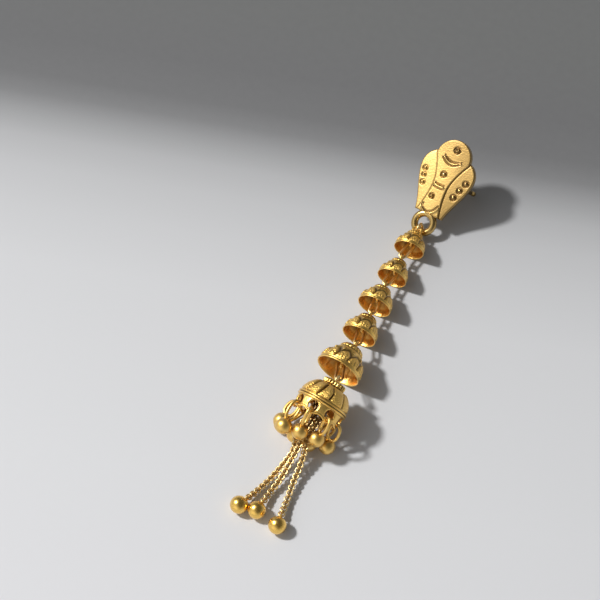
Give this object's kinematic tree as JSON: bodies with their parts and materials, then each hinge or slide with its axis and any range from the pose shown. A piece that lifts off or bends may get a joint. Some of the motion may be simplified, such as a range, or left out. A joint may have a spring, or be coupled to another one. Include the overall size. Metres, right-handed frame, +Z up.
{
  "type": "post-back bell drop earring",
  "caption": "Gold drop earring lying flat: lobed ear plate with a post, a row of small bells on wire links, a pierced dome with a ball fringe and chain tails.",
  "frame": {"origin": "middle of the lying earring's footprint, on the surface it lies on", "axes": "+Y towards the ear plate, -Y towards the tail balls, +X to the right seen from above, +Z up from the surface"},
  "size_m": [0.0146, 0.0768, 0.0112],
  "materials": {
    "satin_gold": "satin gold-coloured metal",
    "polished_gold": "polished gold-coloured metal"
  },
  "bodies": {
    "root": {"ear_plate": "satin_gold", "link_1": "satin_gold", "link_2": "satin_gold", "link_3": "satin_gold", "link_4": "satin_gold", "link_5": "satin_gold", "link_6": "satin_gold", "bell_1": "satin_gold", "bell_2": "satin_gold", "bell_3": "satin_gold", "bell_4": "satin_gold", "bell_5": "satin_gold", "dome": "satin_gold", "bead_drop_1": "polished_gold", "bead_drop_2": "polished_gold", "bead_drop_3": "polished_gold", "bead_drop_4": "polished_gold", "bead_drop_5": "polished_gold", "bead_drop_6": "polished_gold", "bead_drop_7": "polished_gold", "bead_drop_8": "polished_gold", "tail_ring": "satin_gold", "tail_chain_1": "satin_gold", "tail_chain_2": "satin_gold", "tail_chain_3": "satin_gold", "tail_ball_1": "polished_gold", "tail_ball_2": "polished_gold", "tail_ball_3": "polished_gold"}
  },
  "joints": []
}
